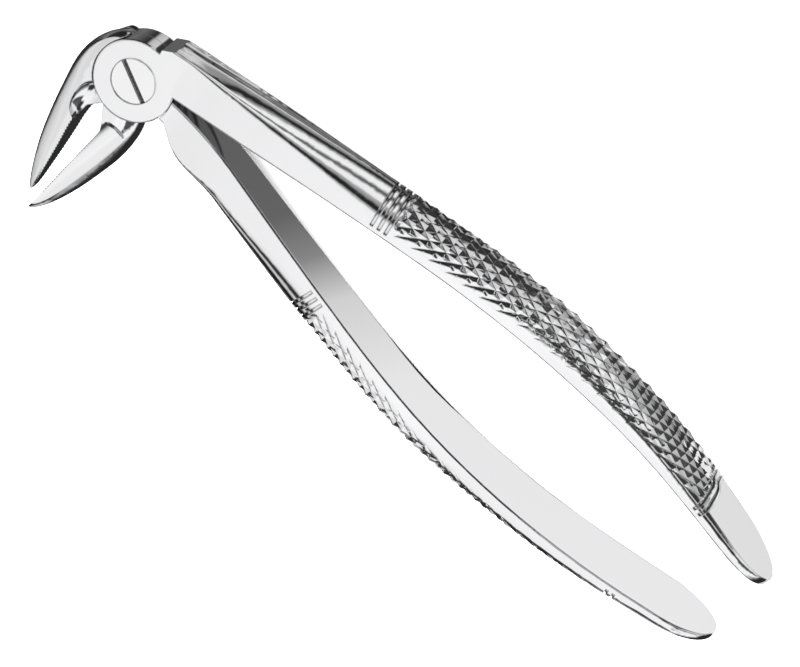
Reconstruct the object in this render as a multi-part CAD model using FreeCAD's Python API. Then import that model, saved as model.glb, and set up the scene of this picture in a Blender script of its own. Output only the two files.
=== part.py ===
"""Lower-root extraction forceps, English pattern, held with the pivot upright.

Two forged steel halves lap over each other at a round box joint and turn on one
slotted screw.  Millimetres.  +Z is the pivot axis, towards the slotted head.
The handles run along +X and the beaks point along -Y.  The origin is on the
pivot axis, at the flat rear face of the joint.
"""
import FreeCAD, Part
import math
import os

V = FreeCAD.Vector

# --- driving dimensions -------------------------------------------------------
LAYER = 4.0              # thickness of each half where they lap
FRONT_R = 8.45           # radius of the front half's round lap
REAR_R = 8.3             # radius of the rear half's round lap
RIM_CHAMFER = 0.25       # round the front face of the joint
SWEEP_GAP = 0.15         # radial gap round each lap, for the other half's shoulder
LAP_GAP = 0.03           # gap between the two lapped faces
JOIN_TOLERANCE = 0.001
MID = LAYER              # height of the plane that both handles are centred on
TOP = 2 * LAYER          # height of the front face of the joint

HEAD_R = 4.62            # screw head
HEAD_H = 2.2
HEAD_CHAMFER = 0.15
SHANK_R = 3.0            # plain shank, inside the front half
THREAD_R = 2.6           # threaded end, inside the rear half
RUN_GAP = 0.05           # running clearance of the screw in the front half
SLOT_W = 0.95
SLOT_DEEP = 1.3
SLOT_TURN = -29.0        # degrees from the X axis

EDGE_R = 0.45            # rounding along both edges of a handle's inner face
COLLAR_AT = 54.3         # distance along X of the collar between shank and grip
END_COLLAR_AT = 135.2    # distance along X of the bead at the grip's far end
GROOVE_W = 0.7           # width of one collar groove
GROOVE_DEEP = 0.75
GROOVE_SIDE = 0.35       # and depth in the flat side walls
GROOVE_FROM = 1.2        # distance from the inner face where the grooves begin
RING_PITCH = 1.55        # spacing of the collar grooves
END_PITCH = 1.5          # spacing of the two grooves beside the end bead
END_LENGTH = 12.0        # how far the rounding of a handle's end reaches back
END_STEPS = (0.3, 0.55, 0.75, 0.88, 0.96, 0.992)     # sections along that rounding
END_THIN = 0.5           # share of the depth lost by the very tip
FACET_START = 2.95       # height of the flat on the back of the end, at its collar
FACET_END = 2.0          # and at the tip

TOOTH_PITCH = 0.8        # serrations of the beaks' gripping faces
TOOTH_DEEP = 0.28
TOOTH_FROM = -13.6       # Y where they start
TOOTH_TO = -34.6         # and end
TOOTH_CLEAR = 1.0        # how far the cut starts outside the face
TOOTH_REACH = 1.3        # and how far it runs past it to front and rear, as a share of LAYER

# Inner face of each handle, from the joint corner to the tip: points in X, Y.
FRONT_INNER = [(3.0, 1.85), (8.7, 2.75), (34.0, 7.1), (58.0, 11.0), (82.0, 13.75),
               (102.0, 14.3), (122.0, 13.0), (138.0, 10.2), (156.5, 6.2)]
REAR_INNER = [(4.0, 2.1), (8.7, 2.05), (17.0, 1.5), (34.0, -2.2), (58.0, -8.2), (82.0, -13.1),
              (104.0, -14.85), (122.0, -14.2), (138.0, -12.2), (157.1, -8.9)]

# Sections of the handles: X, width along Z, depth from inner face to crest, and
# depth of the flat side walls before the back starts to curve over.
GRIP_SECTIONS = [(38.0, 10.8, 8.85, 4.3), (53.0, 12.1, 8.85, 2.3), (70.0, 13.2, 8.4, 2.0),
                 (88.0, 14.2, 7.7, 1.9), (106.0, 15.1, 6.4, 1.7), (124.0, 15.9, 5.2, 1.5),
                 (138.0, 16.1, 4.1, 1.4), (158.0, 15.4, 3.2, 1.2)]
FRONT_SECTIONS = [(7.0, 8.0, 8.9, 8.4), (14.0, 8.5, 9.0, 7.6), (24.0, 9.6, 9.0, 6.2)]
REAR_SECTIONS = [(9.5, 8.0, 4.65, 4.4), (12.5, 8.2, 6.8, 6.2), (16.5, 8.7, 8.6, 7.5),
                 (25.0, 9.7, 8.8, 6.1)]
FRONT_SECTIONS += GRIP_SECTIONS
REAR_SECTIONS += GRIP_SECTIONS

ROOT_LENGTH = 5.2        # straight stretch from the first section back to the lap
SHOULDER = [(-2.0, 8.0), (0.6, 9.2), (3.2, 10.9), (3.2, 14.0), (-2.0, 14.0)]

# Neck and beak of each half: inner X, Y, outer X, Y, half thickness along Z, and
# how full the section is, from 0.5 for a lens to 0.9 for a slab.
FRONT_BEAK = [(-1.2, -5.0, 5.4, -4.4, 3.7, 0.88), (-1.6, -8.9, 6.4, -7.6, 3.7, 0.85),
              (0.3, -12.4, 7.0, -11.3, 3.8, 0.80), (0.5, -15.5, 6.9, -15.6, 3.7, 0.72),
              (0.0, -20.5, 6.1, -20.3, 3.3, 0.66), (-0.6, -27.0, 4.6, -26.6, 2.6, 0.60),
              (-1.1, -33.0, 2.6, -32.8, 1.8, 0.57), (-1.4, -36.9, 0.7, -36.9, 1.1, 0.55),
              (-1.7, -39.2, -0.9, -39.2, 0.5, 0.55)]
REAR_BEAK = [(-2.6, 4.7, -4.7, 5.8, 3.9, 0.88), (-6.0, 3.2, -8.8, 4.5, 3.9, 0.86),
             (-7.2, 0.2, -10.8, 1.1, 3.9, 0.84), (-6.8, -4.4, -11.9, -4.6, 3.9, 0.80),
             (-4.7, -9.6, -11.4, -10.2, 3.9, 0.76), (-4.8, -14.4, -10.6, -14.8, 3.8, 0.70),
             (-4.4, -20.0, -9.5, -20.3, 3.3, 0.64), (-3.75, -27.0, -7.6, -27.2, 2.5, 0.58),
             (-3.3, -32.4, -5.5, -32.6, 1.6, 0.55),
             (-3.2, -34.2, -4.7, -34.3, 1.12, 0.55), (-3.3, -35.5, -3.9, -35.6, 0.6, 0.55)]
REAR_FACE_LEAN = 0.5     # how far the rear beak's gripping face leans to the front

SPOON_R = 8.0            # hollow ground into the front of the front half's beak
SPOON_FROM = (4.4, -10.8)
SPOON_DEEP = 1.1
SPOON_RUN = (-0.19, -1.0, -0.075)
SPOON_EDGE_R = 1.6
HOLLOW_AT = (-4.5, -10.1, 8.4)      # hollow at the root of the rear half's beak
HOLLOW_SIZE = (3.4, 5.2, 2.6)
WEB = [(-6.0, -6.0), (-2.2, -7.4), (-2.5, -9.2), (-4.4, -11.6), (-6.0, -11.0)]
WEB_TOP = 6.2            # height of the web between that root and the lap


# --- helpers ------------------------------------------------------------------
def spline(points):
    """Smooth curve through the points."""
    curve = Part.BSplineCurve()
    curve.interpolate([V(x, y, MID) for x, y in points])
    return curve


def disc(radius, low, high):
    return Part.makeCylinder(radius, high - low, V(0, 0, low))


def place_on(curve, x, side):
    """Point, direction and outward normal of a handle's inner face at this X."""
    low, high = curve.FirstParameter, curve.LastParameter
    for _ in range(60):
        middle = (low + high) / 2
        if curve.value(middle).x < x:
            low = middle
        else:
            high = middle
    along = curve.tangent(middle)[0]
    point = curve.value(middle)
    if x > curve.EndPoint.x:
        point = point + along * ((x - point.x) / along.x)
    outward = V(-along.y, along.x, 0) * side
    return point, along, outward


def rounded_section(point, outward, width, depth, flat):
    """Handle section: flat inner face, flat side walls and an elliptic back."""
    up = V(0, 0, 1)
    half = width / 2

    def at(n, z):
        return point + outward * n + up * z

    bend = EDGE_R * (1 - math.sqrt(0.5))
    inner = Part.makeLine(at(0, EDGE_R - half), at(0, half - EDGE_R))
    front_edge = Part.Arc(at(0, half - EDGE_R), at(bend, half - bend), at(EDGE_R, half))
    front_wall = Part.makeLine(at(EDGE_R, half), at(flat, half))
    turn = math.sqrt(0.5)
    back = Part.BSplineCurve()
    back.interpolate([at(flat, half), at(flat + (depth - flat) * turn, half * turn),
                      at(depth, 0), at(flat + (depth - flat) * turn, -half * turn),
                      at(flat, -half)],
                     InitialTangent=outward, FinalTangent=outward * -1)
    rear_wall = Part.makeLine(at(flat, -half), at(EDGE_R, -half))
    rear_edge = Part.Arc(at(EDGE_R, -half), at(bend, bend - half), at(0, EDGE_R - half))
    return Part.Wire([inner, front_edge.toShape(), front_wall, back.toShape(),
                      rear_wall, rear_edge.toShape()])


def beak_section(row, lean):
    """Neck or beak section: flat gripping side and one smooth curve round the back."""
    x_in, y_in, x_out, y_out, half, full = row
    inner = V(x_in, y_in, MID)
    across = V(x_out - x_in, y_out - y_in, 0)
    up = V(0, 0, half)
    tilt = V(across).normalize() * (-lean * half / LAYER)
    front = inner + up
    rear = inner - up + tilt
    back = Part.BSplineCurve()
    back.interpolate([front, inner + across * full * 0.9 + up * 0.8, inner + across,
                      inner + across * full * 0.9 - up * 0.8, rear],
                     InitialTangent=across, FinalTangent=across * -1)
    return Part.Wire([Part.makeLine(rear, front), back.toShape()])


def local_box(point, along, outward, low, high):
    """Box in a handle's own frame, its corners given as (along, outward, up)."""
    size = [b - a for a, b in zip(low, high)]
    box = Part.makeBox(size[0], size[1], size[2], V(low[0], low[1], low[2]))
    turn = FreeCAD.Rotation(along, outward, along.cross(outward), "XYZ")
    box.Placement = FreeCAD.Placement(point, turn)
    return box


def groove(curve, x, side, sections):
    """Ring cut round the back of a handle, stopping short of its inner face."""
    point, along, outward = place_on(curve, x, side)
    width, depth, flat = section_at(sections, x)
    wide = width / 2 + 3
    slab = local_box(point, along, outward, (-GROOVE_W / 2, GROOVE_FROM, -wide),
                     (GROOVE_W / 2, depth + 3, wide))
    below = point - along * GROOVE_W - outward
    core = rounded_section(below, outward, width - 2 * GROOVE_SIDE,
                           depth - GROOVE_DEEP + 1, flat + 1)
    return slab.cut(Part.Face(core).extrude(along * (2 * GROOVE_W)))


def section_at(sections, x):
    """Width, depth and wall depth of a handle at this X, between two sections."""
    for near, far in zip(sections, sections[1:]):
        if x <= far[0]:
            break
    share = (x - near[0]) / (far[0] - near[0])
    return [a + (b - a) * share for a, b in zip(near[1:], far[1:])]


def rounded_end(sections, end):
    """Sections that close a handle's end like a spatula."""
    start = end - END_LENGTH
    width, depth, flat = section_at(sections, start)
    rows = [(start, width, depth, flat)]
    for share in END_STEPS:
        narrow = math.sqrt(1 - share ** 2)
        thin = 1 - END_THIN * (1 - narrow)
        rows.append((start + END_LENGTH * share, width * narrow, depth * thin, flat * thin))
    return rows


def handle(inner_points, side, sections):
    """One handle: shank, collars, grip and flattened rounded end."""
    curve = spline(inner_points)
    end = inner_points[-1][0]
    wires = []
    for x, width, depth, flat in sections[:-1] + rounded_end(sections, end):
        point, along, outward = place_on(curve, x, side)
        wires.append(rounded_section(point, outward, width, depth, flat))
    body = Part.makeLoft(wires, True, False)
    back_to_lap = place_on(curve, sections[0][0], side)[1] * -ROOT_LENGTH
    body = body.fuse(Part.Face(wires[0]).extrude(back_to_lap))

    # flat on the back of the end
    point, along, outward = place_on(curve, END_COLLAR_AT + END_PITCH, side)
    tip, tip_along, tip_out = place_on(curve, end, side)
    reach = (tip - point).Length
    start = point + outward * FACET_START
    finish = tip + tip_out * FACET_END
    run = (finish - start).normalize()
    over = V(-run.y, run.x, 0) * side
    body = body.cut(local_box(start, run, over, (0, 0, -10), (2 * reach, 10, 10)))

    for x in (COLLAR_AT - RING_PITCH, COLLAR_AT, COLLAR_AT + RING_PITCH,
              END_COLLAR_AT - END_PITCH / 2, END_COLLAR_AT + END_PITCH / 2):
        body = body.cut(groove(curve, x, side, sections))
    return body


def beak(rows, lean):
    """Neck and beak: one loft from the joint to the tip."""
    return Part.makeLoft([beak_section(row, lean) for row in rows], True, False)


def at_height(curve, y):
    """Point of a downward-running curve at the given Y."""
    low, high = curve.FirstParameter, curve.LastParameter
    while high - low > 1e-6:
        middle = (low + high) / 2
        if curve.value(middle).y > y:
            low = middle
        else:
            high = middle
    return curve.value(middle)


def teeth(rows, lean):
    """Comb of V-shaped bars that leaves a beak's gripping face serrated when cut out of it."""
    edge = spline([(row[0], row[1]) for row in rows])
    count = int((TOOTH_FROM - TOOTH_TO) / TOOTH_PITCH)
    top = at_height(edge, TOOTH_FROM + TOOTH_PITCH / 2)
    bottom = at_height(edge, TOOTH_FROM + TOOTH_PITCH / 2 - count * TOOTH_PITCH)
    along = (bottom - top).normalize()
    inward = V(along.y, -along.x, 0)
    if (rows[4][2] - rows[4][0]) * inward.x < 0:
        inward = inward * -1
    outline = [bottom - inward * TOOTH_CLEAR, top - inward * TOOTH_CLEAR, top]
    for i in range(count):
        y = TOOTH_FROM - i * TOOTH_PITCH
        outline.append(at_height(edge, y) + inward * TOOTH_DEEP)
        outline.append(at_height(edge, y - TOOTH_PITCH / 2))
    slant = (V(0, 0, LAYER) + inward * (lean / 2)) * TOOTH_REACH
    outline = [point - inward * (lean / 2) - slant for point in outline]
    return Part.Face(Part.makePolygon(outline + outline[:1])).extrude(slant * 2)


def extruded(outline, height):
    """Straight-sided block standing on the rear face of the joint."""
    points = [V(x, y, 0) for x, y in outline]
    return Part.Face(Part.makePolygon(points + points[:1])).extrude(V(0, 0, height))


def chamfered_disc(radius, low, high, chamfer):
    """Disc with a chamfer round its front face."""
    body = disc(radius, low, high)
    rim = [e for e in body.Edges if e.Length > radius * 6 and e.CenterOfMass.z > high - 0.01]
    return body.makeChamfer(chamfer, rim)


def spoon():
    """Long hollow on the front of the front half's beak, blunt at its root."""
    run = V(*SPOON_RUN).normalize()
    start = V(SPOON_FROM[0], SPOON_FROM[1], TOP - SPOON_DEEP + SPOON_R)
    tool = Part.makeCylinder(SPOON_R, 40, start, run)
    root = [e for e in tool.Edges if (e.CenterOfMass - start).Length < 0.5]
    return tool.makeFillet(SPOON_EDGE_R, root)


def hollow():
    """Rounded hollow at the root of the rear half's beak."""
    tool = Part.makeSphere(1)
    grow = FreeCAD.Matrix()
    grow.scale(V(*HOLLOW_SIZE))
    tool = tool.transformGeometry(grow)
    tool.translate(V(*HOLLOW_AT))
    return tool


# --- the pieces ---------------------------------------------------------------
def join(*shapes):
    """One solid from shapes that overlap or share a face."""
    whole = shapes[0]
    for shape in shapes[1:]:
        whole = whole.fuse(shape, JOIN_TOLERANCE)
    return whole


def front_half():
    """Front lap, upper handle and lower beak: the half that carries the screw head."""
    sweep = disc(REAR_R + SWEEP_GAP, -5, LAYER + LAP_GAP)
    arm = handle(FRONT_INNER, 1, FRONT_SECTIONS).cut(extruded(SHOULDER, TOP)).cut(sweep)
    jaw = beak(FRONT_BEAK, 0).cut(spoon()).cut(teeth(FRONT_BEAK, 0)).cut(sweep)
    body = join(chamfered_disc(FRONT_R, LAYER + LAP_GAP, TOP, RIM_CHAMFER), arm, jaw)
    body = body.cut(disc(HEAD_R + RUN_GAP, TOP - HEAD_H - RUN_GAP, TOP + 1))
    return body.cut(disc(SHANK_R + RUN_GAP, 0, TOP))


def rear_half():
    """Rear lap, lower handle and upper beak: the half that the screw is threaded into."""
    sweep = disc(FRONT_R + SWEEP_GAP, LAYER, 20)
    arm = handle(REAR_INNER, -1, REAR_SECTIONS).cut(sweep)
    jaw = join(beak(REAR_BEAK, REAR_FACE_LEAN), extruded(WEB, WEB_TOP)).cut(hollow())
    jaw = jaw.cut(teeth(REAR_BEAK, REAR_FACE_LEAN)).cut(sweep)
    body = join(disc(REAR_R, 0, LAYER), arm, jaw)
    return body.cut(disc(THREAD_R, -1, LAYER + 1))


def pivot_screw():
    """Slotted screw: flush head, plain shank in the front half, thread in the rear."""
    head = chamfered_disc(HEAD_R, TOP - HEAD_H, TOP, HEAD_CHAMFER)
    slot = Part.makeBox(4 * HEAD_R, SLOT_W, SLOT_DEEP,
                        V(-2 * HEAD_R, -SLOT_W / 2, TOP - SLOT_DEEP))
    slot.rotate(V(0, 0, 0), V(0, 0, 1), SLOT_TURN)
    shank = disc(SHANK_R, LAYER, TOP - HEAD_H)
    thread = disc(THREAD_R, 0, LAYER)
    return head.cut(slot).fuse([shank, thread])


os.makedirs("parts", exist_ok=True)
for name, shape in (("front_half", front_half()), ("rear_half", rear_half()),
                    ("pivot_screw", pivot_screw())):
    shape = shape.removeSplitter()
    solids = shape.Solids
    print(name, "solids", len(solids), "valid", shape.isValid(), "volume", round(shape.Volume, 1),
          "box", shape.BoundBox)
    solids[0].exportStep("parts/" + name + ".step")
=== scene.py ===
import math

import bmesh
import bpy
import numpy as np
from mathutils import Matrix, Vector
from mathutils.bvhtree import BVHTree
from mathutils.kdtree import KDTree


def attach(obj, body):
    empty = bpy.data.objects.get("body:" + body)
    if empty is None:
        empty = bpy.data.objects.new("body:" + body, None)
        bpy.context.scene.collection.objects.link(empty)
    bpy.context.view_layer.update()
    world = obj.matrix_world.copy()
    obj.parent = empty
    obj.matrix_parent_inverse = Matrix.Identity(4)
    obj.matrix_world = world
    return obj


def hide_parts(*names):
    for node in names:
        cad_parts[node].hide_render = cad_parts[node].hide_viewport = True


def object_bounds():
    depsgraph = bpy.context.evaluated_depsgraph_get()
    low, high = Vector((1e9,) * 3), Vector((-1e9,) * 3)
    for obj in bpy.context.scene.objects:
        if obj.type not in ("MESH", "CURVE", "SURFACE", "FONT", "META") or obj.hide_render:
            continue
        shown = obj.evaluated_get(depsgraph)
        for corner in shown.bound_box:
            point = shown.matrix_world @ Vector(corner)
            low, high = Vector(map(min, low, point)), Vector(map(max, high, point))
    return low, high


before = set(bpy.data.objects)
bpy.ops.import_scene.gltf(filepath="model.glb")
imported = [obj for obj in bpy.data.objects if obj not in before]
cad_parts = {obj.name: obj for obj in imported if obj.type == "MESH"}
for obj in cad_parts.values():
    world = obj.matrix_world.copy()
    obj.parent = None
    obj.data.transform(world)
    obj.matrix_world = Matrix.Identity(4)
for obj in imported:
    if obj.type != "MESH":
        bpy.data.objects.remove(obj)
cad_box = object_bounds()
MM = 0.001               # sizes below are in mm unless they say otherwise
MID_Z = 4.0              # height of both handles' centre plane
WELD = 2e-7              # m, closer than this two corners are one
SAME_PLACE = 4e-7        # m, closer than this a corner is the CAD's own
SHARP = 26               # degrees between faces that makes an edge sharp
ALIKE = 0.9              # cosine, above which a CAD normal suits a face

# --- the cross-hatching --------------------------------------------------------------
KNURL_X = (56.55, 134.6)           # grip between the collars
RIDGES_A = (0.251, -0.470, 0.05)   # cycles per mm along the handle, cycles per mm round it, phase
RIDGES_B = (0.261, 0.410, 0.05)
KNURL_DEEP = 0.6
PER_CYCLE = 8                      # grid lines to one groove
MARGINS = (2.0, 2.45)              # plain margin along the edges of the grip, before and after MARGIN_AT
MARGIN_AT = 47                     # distance along the handle
FADE_A, FADE_B = 1.9, 2.2          # over which the grooves run out into the margin
LATER_B = 0.7                      # extra margin of the second set of grooves
RUN_IN, RUN_OUT = 0.5, 1.3         # over which the grooves run out at the collars
CREST_CLEAR = 0.015                # gap between the cutter and the crests, which stay uncut
CUTTER_TOP = 2.0                   # how far the cutter stands out of the smooth surface
CUTTER_ENDS = (0.9, 0.5)           # how far the cutter may reach past the grip's ends
CUTTER_EDGE = 0.9                  # and how near it may come to the grip's edges
CUTTER_ROUND = (0.8, 28)           # span of the grid round the handle

ROW_STEP = 0.25                    # between the sections read off a grip
ROWS_PAST = 1.5                    # how far they go on past its ends
SMOOTH_ROWS = 9                    # rows that the handle's direction is averaged over
ARC_AT = (58.0, 20.3)              # an X, and the distance along the handle that it counts as
ROUND_GRID = (0.6, 30, 0.1)        # start, end and step of the distance round the handle
ROUND_RAYS = 140                   # to one section
CORE_SHARE = 0.35                  # centre of the rays, as a share of a section's depth
EDGE_OUT = 0.8                     # how far out from the inner face the half thickness is read
EDGE_LOW = 0.6                     # how far from the inner face the first ray lands
INNER_START = 100                  # rays to the inner face start this far from Y = 0
CREST_START, ROUND_START = 40, 30  # rays to the back start this far out from the inner face
                                   # and from the centre

# --- the steel -----------------------------------------------------------------------
BEAK_Y = (-13.5, -12.5)            # below this the edges are the beaks', which stay crisp
BEAK_WORN = 0.1                    # how far those are worn round
PAINTED_SHADE_REACH = 1.2                # how far the painted shade in corners spreads
MARKS_DEEP = 0.02                  # depth of the marks that the finishing left
MARKS_STRONG = {"brushed": 0.05, "grained": 0.15, "turned": 0.05}   # strength of the bump
# Scales of the textures, whose coordinates are in metres.
MARKS_SCALE = {"brushed": (90, 1700, 1700), "grained": (2600, 2600, 2600)}
RINGS_SCALE = 900
CLOUDS_SCALE = 180
CLOUDY = 1.9                       # how many times rougher the dullest clouds are
PAINTED_SHADE_BY_OPENNESS = [(0.25, 0.12), (0.75, 1)]   # painted shade: brightness painted into the steel's colour by how open a place is

# --- the studio ----------------------------------------------------------------------
# Brightness of the studio by the angle from straight up, turned towards +Y, in degrees: soft
# boxes and black flags that run along the object.  Each list is one stretch of them, and AT_X
# says where one gives way to the next, by the share of X in the direction.
AT_X = [(-0.36, -0.3), (-0.17, -0.14), (0.03, 0.07), (0.2, 0.28), (0.5, 0.56)]
FAR_LEFT = [(-178, 0.2), (-150, 0.03), (-122, 0.05), (-100, 0.6), (-60, 0.85), (-20, 0.75),
            (45, 0.7), (55, 0.04), (70, 0.02), (160, 0.02), (178, 0.2)]
LEFT = [(-178, 0.5), (-166, 0.02), (-138, 0.01), (-131, 0.5), (-117, 0.01), (-104, 0.01),
        (-96, 0.03), (-88, 0.5), (-79, 0.78), (-69, 0.06), (-60, 0.03), (-52, 0.9), (-12, 0.95),
        (4, 0.01), (17, 0.01), (26, 0.3), (35, 0.42), (43, 0.92), (59, 0.95), (67, 0.15),
        (73, 0.12), (82, 0.98), (95, 0.95), (104, 0.3), (112, 0.02), (121, 0.03), (131, 0.3),
        (143, 0.33), (151, 0.8), (158, 0.6), (167, 0.04), (176, 0.2)]
MIDDLE = [(-178, 0.5), (-166, 0.02), (-138, 0.01), (-131, 0.5), (-117, 0.01), (-104, 0.01),
          (-96, 0.03), (-88, 0.5), (-79, 0.78), (-69, 0.06), (-57, 0.005), (-49, 0.6),
          (-43, 0.9), (-31, 0.95), (-12, 0.95), (4, 0.01), (17, 0.01), (26, 0.3), (35, 0.42),
          (43, 0.92), (52, 0.9), (60, 0.05), (160, 0.04), (178, 0.3)]
RIGHT = [(-178, 0.1), (-166, 0.02), (-62, 0.02), (-52, 0.85), (2, 0.95), (10, 0.04),
         (160, 0.03), (178, 0.08)]
FAR_RIGHT = [(-178, 0.15), (-163, 0.02), (-108, 0.04), (-100, 0.5), (-84, 0.6), (-76, 0.03),
             (-62, 0.02), (-53, 0.03), (-46, 0.85), (-16, 0.95), (-9, 0.03), (20, 0.02), (25, 0.7),
             (33, 0.7), (38, 0.02), (88, 0.03), (100, 0.42), (130, 0.38), (146, 0.1), (178, 0.12)]
END_RIGHT = [(-178, 0.03), (-98, 0.02), (-84, 0.06), (-68, 0.5), (-58, 0.9), (-34, 0.9),
             (-25, 0.06), (14, 0.1), (24, 0.9), (60, 0.5), (140, 0.3), (156, 0.04), (178, 0.03)]

# Brightness of the card between the handles, by the distance along X in mm, and its outline. The card is
# painted shade of the floor between the handles, dark near the joint, and painted light further out,
# seen only mirrored in the steel.
CARD = [(0, 0.12), (40, 0.16), (50, 0.3), (60, 0.8), (80, 1.0), (150, 1.0)]
CARD_REACH = 150         # where the list ends
CARD_BETWEEN = [(8, 1.5), (34, -2), (58, -8), (100, -15), (130, -14), (130, 12), (100, 15),
                (58, 12), (34, 8.5), (8, 3.5)]
CARD_BEYOND = [(130, -14), (175, -14), (175, 27), (135, 27), (130, 12)]
CARD_LIFT = 0.4          # above the floor

FLOOR_RADIUS = 0.6       # m
FLOOR_X = 0.07           # m, middle of the floor
MIRRORED_LIGHT = 1.15    # strength of the studio as the steel mirrors it
PLAIN_LIGHT = 3.5        # and as it lights everything else
DIM_X = (-0.12, 0.02)    # the mirrored studio is dimmer below this share of X
DIM = 0.89               # and this bright there

# Camera: where it is, and its own axes.
CAMERA_AT = (46.0065, 228.1010, 427.8175)
CAMERA_AXES = [(0.7535989, 0.5932644, -0.2826964), (-0.6551536, 0.6445730, -0.3938268),
               (-0.0514158, 0.4820427, 0.8746201)]
CAMERA_LENS = 111.1      # on a sensor 36 wide


def probe(tree, start, way):
    """Where a ray meets a mesh, in mm."""
    hit = tree.ray_cast(Vector(start) * MM, Vector(way))[0]
    return np.array(hit) / MM


def linked(name, mesh):
    """A new object in the scene."""
    made = bpy.data.objects.new(name, mesh)
    bpy.context.scene.collection.objects.link(made)
    return made


def welded_copy(node, name):
    """A CAD node's mesh as a closed mesh of its own."""
    bm = bmesh.new()
    bm.from_mesh(node.data)
    bmesh.ops.remove_doubles(bm, verts=bm.verts, dist=WELD)
    mesh = bpy.data.meshes.new(name)
    bm.to_mesh(mesh)
    bm.free()
    for layer in [a.name for a in mesh.attributes if "normal" in a.name]:
        mesh.attributes.remove(mesh.attributes[layer])
    return linked(name, mesh)


def round_section(tree, base, outward):
    """One section over the back of a grip: distances out from its inner face, and heights."""
    crest = probe(tree, base + outward * CREST_START, -outward)
    depth = np.linalg.norm(crest - base)
    above = base + outward * EDGE_OUT + [0, 0, ROUND_START]
    half = probe(tree, above, (0, 0, -1))[2] - MID_Z
    core = base + outward * CORE_SHARE * depth
    first = math.atan2(CORE_SHARE * depth - EDGE_LOW, half)
    outs, heights = [], []
    for angle in np.linspace(-first, math.pi + first, ROUND_RAYS):
        way = outward * math.sin(angle) + np.array([0, 0, math.cos(angle)])
        point = probe(tree, core + way * ROUND_START, -way)
        outs.append((point - base) @ outward)
        heights.append(point[2] - MID_Z)
    return np.array(outs), np.array(heights)


def grip_surface(node, side):
    """Grid over the back of a grip, by distance s along it and v round it.

    Gives the rows' X and s, the columns' v, the points, their outward directions and each
    row's whole length round.
    """
    tree = BVHTree.FromPolygons([v.co for v in node.data.vertices],
                                [p.vertices for p in node.data.polygons])
    xs = np.arange(KNURL_X[0] - ROWS_PAST, KNURL_X[1] + ROWS_PAST, ROW_STEP)
    inner = np.array([probe(tree, (x, -INNER_START * side, MID_Z), (0, side, 0)) for x in xs])
    along = np.gradient(inner[:, :2], axis=0)
    along /= np.linalg.norm(along, axis=1)[:, None]
    kernel = np.ones(SMOOTH_ROWS) / SMOOTH_ROWS
    for k in (0, 1):
        padded = np.pad(along[:, k], SMOOTH_ROWS // 2, mode="edge")
        along[:, k] = np.convolve(padded, kernel, "valid")
    out = np.c_[-along[:, 1], along[:, 0]] * side
    s = np.r_[0, np.cumsum(np.linalg.norm(np.diff(inner[:, :2], axis=0), axis=1))]
    s += ARC_AT[1] - np.interp(ARC_AT[0], xs, s)
    grid_v = np.arange(*ROUND_GRID)
    points = np.zeros((len(xs), len(grid_v), 3))
    normals = np.zeros_like(points)
    length = np.zeros(len(xs))
    section = None
    for i, x in enumerate(xs):
        outward = np.array([out[i, 0], out[i, 1], 0])
        if KNURL_X[0] <= x <= KNURL_X[1] or section is None:
            start = (max(KNURL_X[0], x), -INNER_START * side, MID_Z)
            section = round_section(tree, probe(tree, start, (0, side, 0)), outward)
        outs, heights = section
        v = outs[0] + np.r_[0, np.cumsum(np.hypot(np.diff(outs), np.diff(heights)))]
        length[i] = v[-1] + outs[-1]
        slope_out, slope_up = np.gradient(outs), np.gradient(heights)
        slope = np.hypot(slope_out, slope_up)
        lean_out = np.interp(grid_v, v, -slope_up / slope)
        lean_up = np.interp(grid_v, v, slope_out / slope)
        lean = np.hypot(lean_out, lean_up)
        points[i] = inner[i] * [1, 1, 0] + np.interp(grid_v, v, outs)[:, None] * outward
        points[i, :, 2] += np.interp(grid_v, v, heights) + MID_Z
        normals[i] = (lean_out / lean)[:, None] * outward
        normals[i, :, 2] += lean_up / lean
    return xs, s, grid_v, points, normals, length


def sample(table, s, v):
    """Points and outward directions at (s, v), read between the rows of a grip surface."""
    _, s_rows, v_cols, points, normals, _ = table
    # places among the rows and columns, kept just inside the last of each
    i = np.clip(np.interp(s, s_rows, np.arange(len(s_rows))), 0, len(s_rows) - 1.001)
    j = np.clip((v - v_cols[0]) / (v_cols[1] - v_cols[0]), 0, len(v_cols) - 1.001)
    i0, j0 = i.astype(int), j.astype(int)
    fi, fj = (i - i0)[:, None], (j - j0)[:, None]
    out = []
    for data in (points, normals):
        out.append((data[i0, j0] * (1 - fj) + data[i0, j0 + 1] * fj) * (1 - fi)
                   + (data[i0 + 1, j0] * (1 - fj) + data[i0 + 1, j0 + 1] * fj) * fi)
    return out


def ridge(line):
    """0 at the bottom of a groove and 1 on the crest between two, by grid line."""
    return np.abs(line / PER_CYCLE - np.round(line / PER_CYCLE)) * 2


def relief(line_a, line_b, s, s_ends, edge):
    """Height of the cut surface over the smooth one, by grid lines and distance from the edges."""
    from_end = np.minimum(np.clip((s - s_ends[0]) / RUN_IN, -2, 1),
                          np.clip((s_ends[1] - s) / RUN_OUT, -2, 1))
    margin = np.where(s < MARGIN_AT, *MARGINS)
    lift_a = KNURL_DEEP * np.clip((margin + FADE_A - edge) / FADE_A, 0, 2)
    lift_b = KNURL_DEEP * np.clip((margin + LATER_B + FADE_B - edge) / FADE_B, 0, 2)
    grooves_a = lift_a - KNURL_DEEP * (1 - ridge(line_a))
    grooves_b = lift_b - KNURL_DEEP * (1 - ridge(line_b))
    return np.minimum(grooves_a, grooves_b) + KNURL_DEEP * (1 - from_end) + CREST_CLEAR


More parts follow.
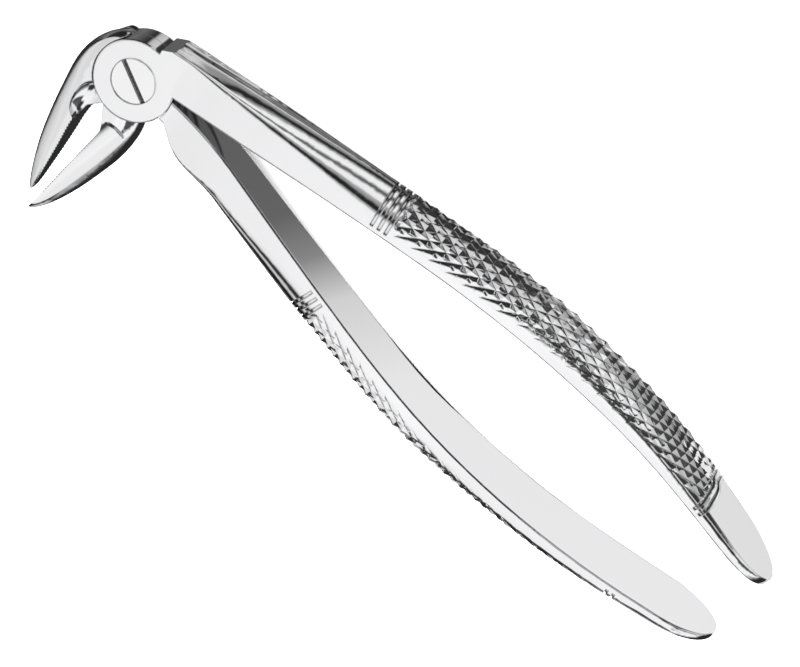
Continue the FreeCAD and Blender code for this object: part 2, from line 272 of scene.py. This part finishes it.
def knurl_cutter(node, side, name):
    """Closed solid whose underside is the cross-hatched relief of a grip."""
    table = grip_surface(node, side)
    xs, s_rows, length = table[0], table[1], table[-1]
    s_low = np.interp(KNURL_X[0] - CUTTER_ENDS[0], xs, s_rows)
    s_high = np.interp(KNURL_X[1] + CUTTER_ENDS[1], xs, s_rows)

    # a grid that follows both sets of grooves
    turns = np.array([RIDGES_A[:2], RIDGES_B[:2]])
    shift = np.array([RIDGES_A[2], RIDGES_B[2]])
    corners = np.array([(s, v) for s in (s_low, s_high) for v in CUTTER_ROUND]) @ turns.T + shift
    first = np.floor(corners.min(0) * PER_CYCLE).astype(int)
    last = np.ceil(corners.max(0) * PER_CYCLE).astype(int)
    a, b = np.arange(first[0], last[0] + 1), np.arange(first[1], last[1] + 1)
    grid_a, grid_b = np.meshgrid(a, b, indexing="ij")
    line_a, line_b = grid_a.ravel(), grid_b.ravel()
    s, v = np.linalg.solve(turns, np.stack([line_a / PER_CYCLE - shift[0],
                                            line_b / PER_CYCLE - shift[1]]))
    edge = np.minimum(v, np.interp(s, s_rows, length) - v)
    inside = ((s > s_low) & (s < s_high) & (edge > CUTTER_EDGE)).reshape(grid_a.shape)
    depth = relief(line_a, line_b, s, np.interp(KNURL_X, xs, s_rows), edge)
    surface, outward = sample(table, s, v)
    low = surface + outward * depth[:, None]
    high = surface + outward * CUTTER_TOP

    # whole cells only, each split along the crest or groove that crosses it
    cell = inside[:-1, :-1] & inside[1:, :-1] & inside[:-1, 1:] & inside[1:, 1:]
    ii, jj = np.nonzero(cell)
    width = grid_a.shape[1]
    c00, c01 = ii * width + jj, ii * width + jj + 1
    c10, c11 = c00 + width, c01 + width
    used = np.unique(np.r_[c00, c10, c01, c11])
    index = -np.ones(grid_a.size, int)
    index[used] = np.arange(len(used))
    half = PER_CYCLE // 2
    up = ((a[ii] % PER_CYCLE) < half) == ((b[jj] % PER_CYCLE) < half)
    one = np.where(up[:, None], np.c_[c00, c10, c11], np.c_[c00, c10, c01])
    other = np.where(up[:, None], np.c_[c00, c11, c01], np.c_[c10, c11, c01])
    tris = index[np.r_[one, other]]

    count = len(used)
    verts = np.r_[low[used], high[used]] * MM
    pairs = set(map(tuple, np.r_[tris[:, [0, 1]], tris[:, [1, 2]], tris[:, [2, 0]]]))
    rim = [(p, q) for p, q in pairs if (q, p) not in pairs]
    faces = [tuple(t) for t in tris] + [(t[2] + count, t[1] + count, t[0] + count) for t in tris]
    faces += [(q, p, p + count, q + count) for p, q in rim]
    mesh = bpy.data.meshes.new(name)
    mesh.from_pydata([tuple(q) for q in verts], [], faces)
    bm = bmesh.new()
    bm.from_mesh(mesh)
    bmesh.ops.recalc_face_normals(bm, faces=bm.faces)
    for face in bm.faces:
        face.material_index = 1
    bm.to_mesh(mesh)
    bm.free()
    return linked(name, mesh)


def keep_normals(mesh, cad):
    """Gives a cut mesh the CAD's own normals where its corners are still the CAD's."""
    places = KDTree(len(cad.vertices))
    for v in cad.vertices:
        places.insert(v.co, v.index)
    places.balance()
    corner_normals = [[] for _ in cad.vertices]
    for loop, normal in zip(cad.loops, cad.corner_normals):
        corner_normals[loop.vertex_index].append(normal.vector.copy())
    mesh.shade_smooth()
    mesh.set_sharp_from_angle(angle=math.radians(SHARP))
    near = {}
    chosen = [n.vector.copy() for n in mesh.corner_normals]
    for face in mesh.polygons:
        for i in face.loop_indices:
            v = mesh.loops[i].vertex_index
            if v not in near:
                found = places.find_range(mesh.vertices[v].co, SAME_PLACE)
                near[v] = [n for _, index, _ in found for n in corner_normals[index]]
            if near[v]:
                best = max(near[v], key=face.normal.dot)
                if best.dot(face.normal) > ALIKE:
                    chosen[i] = best
    mesh.normals_split_custom_set(chosen)


def knurled(node_name, body, side):
    """A half of the forceps with its grip cut: slot 0 for the steel, slot 1 for the cuts."""
    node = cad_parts[node_name]
    piece = welded_copy(node, node_name + "_knurled")
    cutter = knurl_cutter(node, side, "cutter_" + node_name)
    for part in (piece, cutter):
        part.data.materials.append(None)
        part.data.materials.append(None)
    cut = piece.modifiers.new("cut", "BOOLEAN")
    cut.operation = "DIFFERENCE"
    cut.solver = "MANIFOLD"
    cut.object = cutter
    bpy.context.view_layer.update()
    now = piece.evaluated_get(bpy.context.evaluated_depsgraph_get())
    done = bpy.data.meshes.new_from_object(now)
    piece.modifiers.clear()
    piece.data = done
    bpy.data.objects.remove(cutter)
    keep_normals(done, node.data)
    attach(piece, body)
    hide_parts(node_name)
    return piece


# --- the two halves with their grips cut -------------------------------------------
halves = [knurled("front_half", "front", 1),
          knurled("rear_half", "rear", -1)]


# --- materials -----------------------------------------------------------------------
def add_node(tree, kind, **settings):
    made = tree.nodes.new(kind)
    for key, value in settings.items():
        setattr(made, key, value)
    return made


def map_range(tree, source, start, end, low=0.0, high=1.0, **settings):
    """Socket that goes from low to high as the source goes from start to end."""
    made = add_node(tree, "ShaderNodeMapRange", **settings)
    made.inputs["From Min"].default_value = start
    made.inputs["From Max"].default_value = end
    made.inputs["To Min"].default_value = low
    made.inputs["To Max"].default_value = high
    tree.links.new(source, made.inputs["Value"])
    return made.outputs[0]


def mix(tree, factor, a, b, **settings):
    """Socket that mixes two colours by a number or a socket."""
    made = add_node(tree, "ShaderNodeMix", data_type="RGBA", **settings)
    for socket, value in (("Factor", factor), ("A", a), ("B", b)):
        if isinstance(value, bpy.types.NodeSocket):
            tree.links.new(value, made.inputs[socket])
        else:
            made.inputs[socket].default_value = value
    return made.outputs["Result"]


def ramp_of(tree, stops, source, low=0.0, high=1.0):
    """Colour ramp through (place, brightness) stops, placed between low and high."""
    made = add_node(tree, "ShaderNodeValToRGB")
    elements = made.color_ramp.elements
    while len(elements) > 1:
        elements.remove(elements[-1])
    for i, (place, value) in enumerate(stops):
        share = (place - low) / (high - low)
        stop = elements[0] if i == 0 else elements.new(share)
        stop.position = share
        stop.color = (value, value, value, 1)
    tree.links.new(source, made.inputs[0])
    return made.outputs["Color"]


def noise(tree, place, scale, detail):
    made = add_node(tree, "ShaderNodeTexNoise")
    made.inputs["Scale"].default_value = scale
    made.inputs["Detail"].default_value = detail
    tree.links.new(place, made.inputs["Vector"])
    return made.outputs["Fac"]


def fine_marks(tree, place, kind):
    """Height of the marks that the finishing left: turned rings, brushed lines or grains."""
    if kind == "turned":
        rings = add_node(tree, "ShaderNodeTexWave", wave_type="RINGS", rings_direction="Z")
        rings.inputs["Scale"].default_value = RINGS_SCALE
        rings.inputs["Distortion"].default_value = 0.4
        tree.links.new(place, rings.inputs["Vector"])
        return rings.outputs["Fac"]
    stretch = add_node(tree, "ShaderNodeMapping")
    stretch.inputs["Scale"].default_value = MARKS_SCALE[kind]
    tree.links.new(place, stretch.inputs["Vector"])
    return noise(tree, stretch.outputs["Vector"], 1, 3)


def steel(name, tint, polish, marks_kind, worn):
    """Stainless steel: cloudiness, fine marks, painted shade in its crevices, and edges worn round over
    `worn` mm.
    """
    made = bpy.data.materials.new(name)
    made.use_nodes = True
    tree = made.node_tree
    link = tree.links.new
    shader = tree.nodes["Principled BSDF"]
    shader.inputs["Metallic"].default_value = 1
    shader.inputs["Specular Tint"].default_value = (0.6, 0.6, 0.6, 1)
    place = add_node(tree, "ShaderNodeTexCoord").outputs["Object"]
    clouds = noise(tree, place, CLOUDS_SCALE, 4)
    gloss = ramp_of(tree, [(0.3, polish), (0.7, polish * CLOUDY)], clouds)
    link(gloss, shader.inputs["Roughness"])

    # painted shade: the base colour is made darker where ambient occlusion finds a place closed in
    crevice = add_node(tree, "ShaderNodeAmbientOcclusion", samples=6, only_local=True)
    crevice.inputs["Distance"].default_value = PAINTED_SHADE_REACH * MM
    dark = ramp_of(tree, PAINTED_SHADE_BY_OPENNESS, crevice.outputs["AO"])
    link(mix(tree, 1, dark, tint + (1,), blend_type="MULTIPLY"), shader.inputs["Base Color"])

    edge = add_node(tree, "ShaderNodeBevel", samples=6)
    edge.inputs["Radius"].default_value = worn * MM
    if marks_kind == "brushed":
        split = add_node(tree, "ShaderNodeSeparateXYZ")
        link(place, split.inputs[0])
        link(map_range(tree, split.outputs["Y"], BEAK_Y[0] * MM, BEAK_Y[1] * MM,
                       BEAK_WORN * MM, worn * MM), edge.inputs["Radius"])
    bump = add_node(tree, "ShaderNodeBump")
    bump.inputs["Strength"].default_value = MARKS_STRONG[marks_kind]
    bump.inputs["Distance"].default_value = MARKS_DEEP * MM
    link(fine_marks(tree, place, marks_kind), bump.inputs["Height"])
    link(edge.outputs["Normal"], bump.inputs["Normal"])
    link(bump.outputs["Normal"], shader.inputs["Normal"])
    return made


front_steel = steel("front_half_polished_steel", (0.86, 0.86, 0.87), 0.04, "brushed", 0.35)
rear_steel = steel("rear_half_polished_steel", (0.85, 0.85, 0.86), 0.04, "brushed", 0.35)
grip_steel = steel("grip_cut_steel", (0.86, 0.86, 0.87), 0.05, "grained", 0.05)
screw_steel = steel("screw_turned_steel", (0.88, 0.88, 0.885), 0.05, "turned", 0.2)
for piece, finishes in ((halves[0], (front_steel, grip_steel)), (halves[1], (rear_steel, grip_steel)),
                        (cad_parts["front_half"], (front_steel,)),
                        (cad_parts["rear_half"], (rear_steel,)),
                        (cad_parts["pivot_screw"], (screw_steel,))):
    index = [face.material_index for face in piece.data.polygons]
    piece.data.materials.clear()
    for finish in finishes:
        piece.data.materials.append(finish)
    piece.data.polygons.foreach_set("material_index", index)


# --- floor -----------------------------------------------------------------------------
floor_z = cad_box[0].z
bpy.ops.mesh.primitive_circle_add(vertices=96, radius=FLOOR_RADIUS, fill_type="NGON",
                                  location=(FLOOR_X, 0, floor_z))
floor = bpy.context.object
floor.name = "floor"
paint = bpy.data.materials.new("floor_paint")
paint.use_nodes = True
shader = paint.node_tree.nodes["Principled BSDF"]
shader.inputs["Base Color"].default_value = (0.9, 0.9, 0.9, 1)
shader.inputs["Roughness"].default_value = 1
shader.inputs["Specular IOR Level"].default_value = 0
floor.data.materials.append(paint)
floor.visible_glossy = False

# --- card on the floor between the handles, seen only in the steel: a glowing sheet of painted shade and light ---
corners = [(x * MM, y * MM, floor_z + CARD_LIFT * MM) for x, y in CARD_BETWEEN + CARD_BEYOND]
card_mesh = bpy.data.meshes.new("card")
card_mesh.from_pydata(corners, [], [range(len(CARD_BETWEEN)), range(len(CARD_BETWEEN), len(corners))])
card = linked("card", card_mesh)
painted_floor_shade = bpy.data.materials.new("card_glow")
painted_floor_shade.use_nodes = True
tree = painted_floor_shade.node_tree
tree.nodes.clear()
split = add_node(tree, "ShaderNodeSeparateXYZ")
tree.links.new(add_node(tree, "ShaderNodeTexCoord").outputs["Object"], split.inputs[0])
reach = map_range(tree, split.outputs["X"], 0, CARD_REACH * MM)
# the card glows with painted shade near the joint and painted light further out, though it is no lamp
emit = add_node(tree, "ShaderNodeEmission")
tree.links.new(ramp_of(tree, CARD, reach, 0, CARD_REACH), emit.inputs["Color"])
tree.links.new(emit.outputs[0], add_node(tree, "ShaderNodeOutputMaterial").inputs["Surface"])
card_mesh.materials.append(painted_floor_shade)
card.visible_camera = False
card.visible_diffuse = False
card.visible_shadow = False

# --- studio light: plain for the floor, bands of light and dark for the steel ------------
world = bpy.data.worlds.new("studio")
bpy.context.scene.world = world
world.use_nodes = True
tree = world.node_tree
link = tree.links.new
way = add_node(tree, "ShaderNodeSeparateXYZ")
link(add_node(tree, "ShaderNodeTexCoord").outputs["Generated"], way.inputs[0])
turn = add_node(tree, "ShaderNodeMath", operation="ARCTAN2")
link(way.outputs["Y"], turn.inputs[0])
link(way.outputs["Z"], turn.inputs[1])
share = map_range(tree, turn.outputs[0], -math.pi, math.pi)
walls = ramp_of(tree, FAR_LEFT, share, -180, 180)
for stops, (start, end) in zip((LEFT, MIDDLE, RIGHT, FAR_RIGHT, END_RIGHT), AT_X):
    past = map_range(tree, way.outputs["X"], start, end, interpolation_type="SMOOTHSTEP")
    walls = mix(tree, past, walls, ramp_of(tree, stops, share, -180, 180))
dimmer = map_range(tree, way.outputs["X"], *DIM_X, DIM, 1)
shaded = mix(tree, 1, walls, dimmer, blend_type="MULTIPLY")
mirrored = tree.nodes["Background"]
mirrored.inputs["Strength"].default_value = MIRRORED_LIGHT
link(shaded, mirrored.inputs["Color"])
plain = add_node(tree, "ShaderNodeBackground")
plain.inputs["Color"].default_value = (1, 1, 1, 1)
plain.inputs["Strength"].default_value = PLAIN_LIGHT
chosen = add_node(tree, "ShaderNodeMixShader")
link(add_node(tree, "ShaderNodeLightPath").outputs["Is Glossy Ray"], chosen.inputs[0])
link(plain.outputs[0], chosen.inputs[1])
link(mirrored.outputs[0], chosen.inputs[2])
link(chosen.outputs[0], tree.nodes["World Output"].inputs["Surface"])

# --- camera ------------------------------------------------------------------------------
cam_data = bpy.data.cameras.new("camera")
cam = linked("camera", cam_data)
stand = Matrix([Vector(axis) for axis in CAMERA_AXES]).transposed().to_4x4()
stand.translation = Vector(CAMERA_AT) * MM
cam.matrix_world = stand
cam_data.lens = CAMERA_LENS
cam_data.sensor_width = 36
cam_data.clip_start = 0.01
bpy.context.scene.camera = cam
bpy.context.scene.view_settings.view_transform = "Standard"
